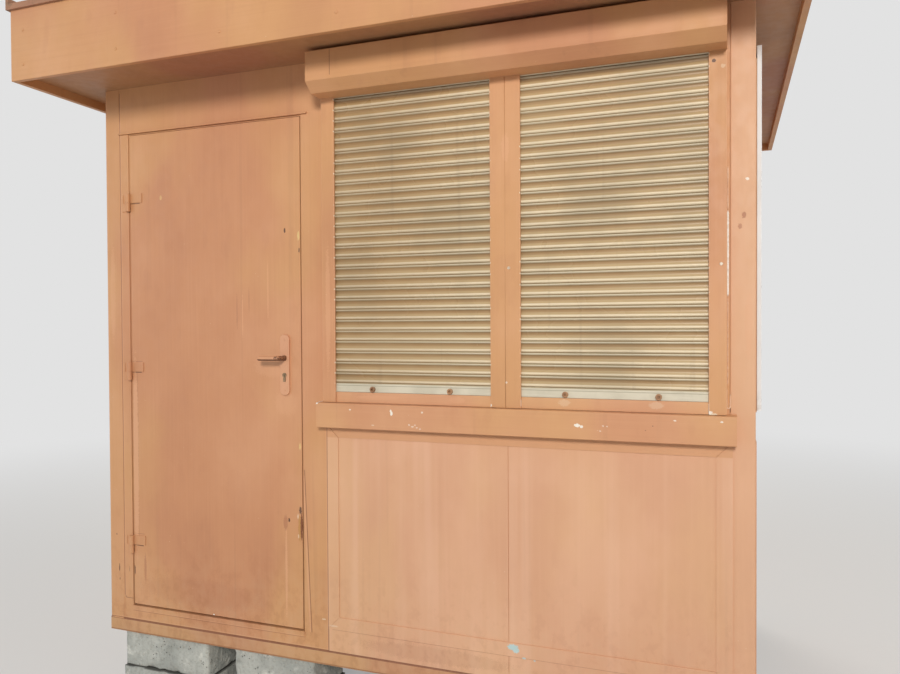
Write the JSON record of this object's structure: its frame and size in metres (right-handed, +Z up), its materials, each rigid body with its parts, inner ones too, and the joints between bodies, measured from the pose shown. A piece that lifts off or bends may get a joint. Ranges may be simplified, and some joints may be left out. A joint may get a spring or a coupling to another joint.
{
  "type": "street kiosk",
  "caption": "Small flat-roofed street kiosk of painted sheet steel on concrete blocks, with a side-hung door, closed roller shutters over its windows and a ledge under them.",
  "frame": {"origin": "on the ground under the middle of the roof", "axes": "+X to the right along the front as seen from the street, +Y from the front to the back, +Z up"},
  "size_m": [2.824, 2.334, 2.8142],
  "materials": {
    "concrete": "rough cast concrete",
    "brown_steel": "brush painted sheet steel, weathered",
    "base_steel": "brush painted rolled steel",
    "slat_paint": "satin, dusty",
    "bar_paint": "satin, dusty",
    "handle_metal": "painted over, worn",
    "lock_brass": "worn",
    "window_glass": "clear",
    "floor_board": "dusty sheet board",
    "joist_wood": "sawn",
    "white_board": "matt white board",
    "roof_sheet": "matt painted sheet, dusty"
  },
  "bodies": {
    "cabin": {"front_lower_blocks": "concrete", "front_upper_blocks": "concrete", "back_lower_blocks": "concrete", "back_upper_blocks": "concrete", "base_front_channel": "base_steel", "base_back_channel": "base_steel", "base_left_channel": "base_steel", "base_right_channel": "base_steel", "floor_joists": "joist_wood", "floor_deck": "floor_board", "front_left_post": "brown_steel", "front_right_post": "brown_steel", "back_posts": "brown_steel", "left_wall": "brown_steel", "right_wall": "brown_steel", "back_wall": "brown_steel", "hinge_stile": "brown_steel", "door_post": "brown_steel", "door_header": "brown_steel", "door_threshold": "brown_steel", "front_lower_wall": "brown_steel", "mullion_post": "brown_steel", "window_header": "brown_steel", "front_lower_panel": "brown_steel", "sill_ledge": "brown_steel", "sill_strips": "brown_steel", "left_guide_rails": "brown_steel", "right_guide_rails": "brown_steel", "left_shutter_curtain": "slat_paint", "right_shutter_curtain": "slat_paint", "left_bottom_bar": "bar_paint", "right_bottom_bar": "bar_paint", "left_shutter_box": "brown_steel", "right_shutter_box": "brown_steel", "shutter_rolls": "slat_paint", "left_window_frame": "brown_steel", "right_window_frame": "brown_steel", "window_panes": "window_glass", "side_board": "white_board", "ceiling_board": "brown_steel", "front_fascia": "brown_steel", "back_fascia": "brown_steel", "side_fascias": "brown_steel", "roof_deck": "roof_sheet", "stile_hinge_flaps": "brown_steel"},
    "door": {"door_leaf": "brown_steel", "handle_plates": "handle_metal", "lock_cylinder": "lock_brass", "door_hinge_flaps": "brown_steel"},
    "lever": {"door_lever": "handle_metal"}
  },
  "joints": [
    {"name": "door_hinge", "type": "hinge", "parent": "cabin", "child": "door", "pos_m": [-1.1285, -0.855, 1.378], "axis": [0, 0, -1], "range_deg": [0, 110]},
    {"name": "lever_turn", "type": "hinge", "parent": "door", "child": "lever", "pos_m": [-0.3945, -0.845, 1.441], "axis": [0, -1, 0], "range_deg": [0, 40], "stiffness_Nm_per_rad": 1.5, "springref_deg": -28.65}
  ]
}
